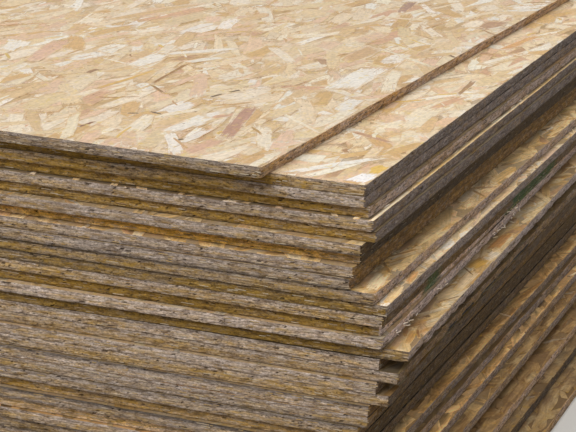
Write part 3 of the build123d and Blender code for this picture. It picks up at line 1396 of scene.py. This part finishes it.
boardLooks = {
    "panel_34": {"front": -0.1, "frontShade": 0.7, "right": -0.45, "rightShade": 1.75},
    "panel_33": {"front": -0.25, "frontShade": 0.92, "rightShade": 0.76},
    "panel_32": {"front": 0.1, "rightShade": 1.15},
    "panel_31": {"strip": 0.65, "front": -0.08, "frontShade": 0.92, "right": -0.15, "rightShade": 2.3},
    "panel_30": {"strip": 1.2, "front": -0.06, "frontShade": 0.95, "joint": 0.6,
                 "atFoot": 0.12, "reach": 5 * mm, "bed": 0.5, "narrowing": 0.35},
    "panel_29": {"strip": 0.5, "front": -0.15, "frontShade": 0.75, "rightShade": 0.95, "joint": 0.8},
    "panel_28": {"strip": 0.93, "frontShade": 0.94, "right": -0.7, "rightShade": 0.42},
    "panel_27": {"front": 0.12, "frontShade": 1.55, "right": -0.9, "rightShade": 0.28, "joint": 0.1},
    "panel_26": {"strip": 1.08, "front": -0.04, "frontShade": 0.9, "right": -0.6},
    "panel_25": {"frontShade": 0.82, "right": -0.65, "rightShade": 1.05, "lip": (0.8, 0.9)},
    "panel_24": {"strip": 1.05, "front": -0.1, "frontShade": 0.78, "right": -0.25, "rightShade": 1.75,
                 "lip": (1, 0.3)},
    "panel_23": {"front": -0.25, "frontShade": 0.63, "rightShade": 1.2, "lip": (1, 0.5)},
    "panel_22": {"front": -0.08, "right": -0.35, "rightShade": 0.68,
                 "rightStains": ((0.15, 0.22), (0.52, 0.77))},
    "panel_21": {"front": -0.15, "frontShade": 0.72, "right": 0.6, "rightShade": 4.8,
                 "rightStains": ((0.15, 0.23), (0.5, 0.78)), "tufts": ((0.5, 0.58, 10),)},
    "panel_20": {"strip": 1.18, "front": 0.15, "frontShade": 1.15, "right": 0.5, "rightShade": 2.9,
                 "rightRagged": 2 * mm, "tufts": ((0.05, 0.12, 9), (0.2, 0.26, 5), (0.42, 0.6, 16))},
    "panel_19": {"strip": 0.8, "frontShade": 0.68, "right": 0.9, "rightShade": 1.75,
                 "rightRagged": 2.5 * mm, "blunt": 3},
    "panel_18": {"strip": 0.17, "front": 0.15, "frontShade": 1.1, "joint": 0.2, "lip": (0.55, 0.8)},
    "panel_17": {"strip": 0.25, "front": -0.2, "frontShade": 0.85, "right": -0.35, "rightShade": 0.85,
                 "joint": 0.6,
                 "rightSlits": ((0.19, 0.225), (0.245, 0.3), (0.33, 0.4), (0.41, 0.45), (0.47, 0.56))},
    "panel_16": {"strip": 0.9, "joint": 0.15},
    "panel_15": {"strip": 0.5, "front": -0.2, "frontShade": 0.9, "right": -0.35, "rightShade": 0.48,
                 "lip": (1.1, 1.3), "blunt": 2.5},
    "panel_14": {"strip": 0.62, "right": -0.3, "joint": 0.2, "lip": (0.42, 0.36)},
    "panel_13": {"strip": 1.6, "front": -0.12, "frontShade": 0.83, "right": -0.3},
    "panel_12": {"strip": 0.65, "frontShade": 0.9, "right": -0.3, "lip": (0.5, 0.8)},
    "panel_11": {"strip": 0.75, "front": 0.3, "frontShade": 1.1, "right": -0.65, "rightShade": 0.4,
                 "joint": 0.3},
    "panel_10": {"strip": 0.77, "frontShade": 0.85, "right": -0.6, "rightShade": 0.45, "lip": (0.25, 0.35)},
    "panel_09": {"strip": 0.2, "front": 0.6, "frontShade": 1.5, "right": -0.5, "rightShade": 0.6,
                 "lip": (2, 2)},
    "panel_08": {"strip": 1.55, "right": -0.25, "rightShade": 0.88},
    "panel_07": {"strip": 0.4, "front": 0.1, "frontShade": 0.66, "right": -0.3, "rightShade": 1.25},
    "panel_06": {"strip": 1.65, "frontShade": 0.85, "right": -0.3, "rightShade": 1.22},
    "panel_05": {"strip": 0.82, "right": -0.25, "rightShade": 1.1},
    "panel_04": {"right": -0.3, "rightShade": 1.35},
    "panel_03": {"strip": 0.72, "right": -0.35, "rightShade": 2},
    "panel_02": {"strip": 0.46, "right": -0.4, "rightShade": 0.33},
    "panel_01": {"strip": 0.53, "right": -0.6, "rightShade": 1.8},
}
boardSettings = {
    "seed": 100,  # of the top board
    "wholeTints": ((1, 1, 1), (1, 0.98, 0.91)),  # of the boards that show their broad face
    "wholeBeds": (1.0, 0.85),
    "wholeShades": (0.76, 1.06),  # at the foot of the boards above, and in the open
    "stripShades": (0.3, 1.4),
    "reach": 14 * mm,  # of the shade at the foot of three boards
    "narrowing": 0.65,  # flakes look narrower on the strips
    "paleStrips": ("panel_20", "panel_23", "panel_30"),
    "firstGrimyShaded": 26,  # this many boards down, the strips are dirty and also painted darker as shade deep in the pile
}
broadKinds = {  # bed is how light the bed is against the flakes, reach how far a shade goes at least
    "whole": {"finish": topFinish, "tones": flakeTones, "bedTone": bedTones["top"], "reach": 3 * mm},
    "pale": {
        "finish": paleStripFinish, "tones": flakeTones, "level": 1,
        "bedTone": bedTones["strip"], "bed": 0.62, "reach": 3 * mm,
    },
    "strip": {
        "finish": stripFinish, "tones": stripTones, "level": 1,
        "bedTone": bedTones["strip"], "bed": 0.62, "reach": 3 * mm,
    },
    "grimyShaded": {
        "finish": grimyShadedStripFinish, "tones": grimyShadedTones, "level": 0.9,
        "bedTone": bedTones["grimyShaded"], "bed": 0.5, "reach": 8 * mm,
    },
}


def dressBoard(name, order, looks, settings):
    # what the bare part of a board's broad face looks like
    reach = looks.get("reach", settings["reach"])
    if order < len(settings["wholeTints"]):
        kind = broadKinds["whole"]
        return {
            **kind,
            "level": np.array(settings["wholeTints"][order]),
            "bedShade": settings["wholeBeds"][order],
            "shades": (*settings["wholeShades"], (kind["reach"], reach)),
            "narrowing": 1,
        }
    lower = "grimyShaded" if order >= settings["firstGrimyShaded"] else "strip"
    kind = broadKinds["pale" if name in settings["paleStrips"] else lower]
    atFoot, inOpen = settings["stripShades"]
    inOpen = inOpen * looks.get("strip", 1)
    return {
        **kind,
        "bedShade": looks.get("bed", kind["bed"] * inOpen),
        "shades": (looks.get("atFoot", atFoot), inOpen, (kind["reach"], reach)),
        "narrowing": looks.get("narrowing", settings["narrowing"]),
    }


def shadeFlakes(mesh, place, above, shades):
    # flakes come without a shade, and take it from where they lie
    points = readValues(mesh.vertices, "co", 3).reshape(-1, 3)
    shade = readValues(mesh.attributes["shade"].data, "value")
    onFlakes = shade == 0
    spots = points[onFlakes, :2].astype(float)
    shade[onFlakes] = footShade(spots, place, above, *shades)
    mesh.attributes["shade"].data.foreach_set("value", shade)


def buildBoard(name, order, settings):
    place = places[name]
    above = [places[other] for other in boardNames[max(0, order - 3):order][::-1]]
    draw = np.random.default_rng(settings["seed"] + order)
    looks = boardLooks.get(name, {})
    dress = dressBoard(name, order, looks, settings)
    bm, rim = buildBand(place, above, looks, dress["bedTone"], dress["bedShade"], edgeSettings, draw)
    flakes = bareOnly(dropFlakes(place, flakeSettings, draw), place, above)
    flakes[:, 3] *= dress["narrowing"]
    slivers = bareOnly(dropSlivers(place, flakeSettings, draw), place, above)
    for kind, rows, shades in ((flakeKind, flakes, dress["tones"]), (sliverKind, slivers, sliverTones)):
        tones = pickTones(len(rows), draw, shades) * dress["level"]
        addFlakes(bm, kind, rows, tones, place, rim, draw)
    addMarks(bm, name, place, rim, draw)
    addFrays(bm, place, looseSettings, draw)
    addTufts(bm, place, looks, tuftSettings, draw)
    mesh = bpy.data.meshes.new("board_" + name[-2:])
    bm.to_mesh(mesh)
    bm.free()
    shadeFlakes(mesh, place, above, dress["shades"])
    mesh.transform(toWorld(place))
    for finish in (dress["finish"], sawnFinish, pressedFinish):
        mesh.materials.append(finish)
    board = addObject("board_" + name[-2:], mesh)
    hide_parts(name)
    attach(board, "root")
    triangles = sum(face.loop_total - 2 for face in mesh.polygons)
    print(board.name, len(flakes), "flakes,", triangles, "triangles")
    return triangles


totalTriangles = sum(buildBoard(name, order, boardSettings) for order, name in enumerate(boardNames))
print("boards made,", totalTriangles, "triangles")
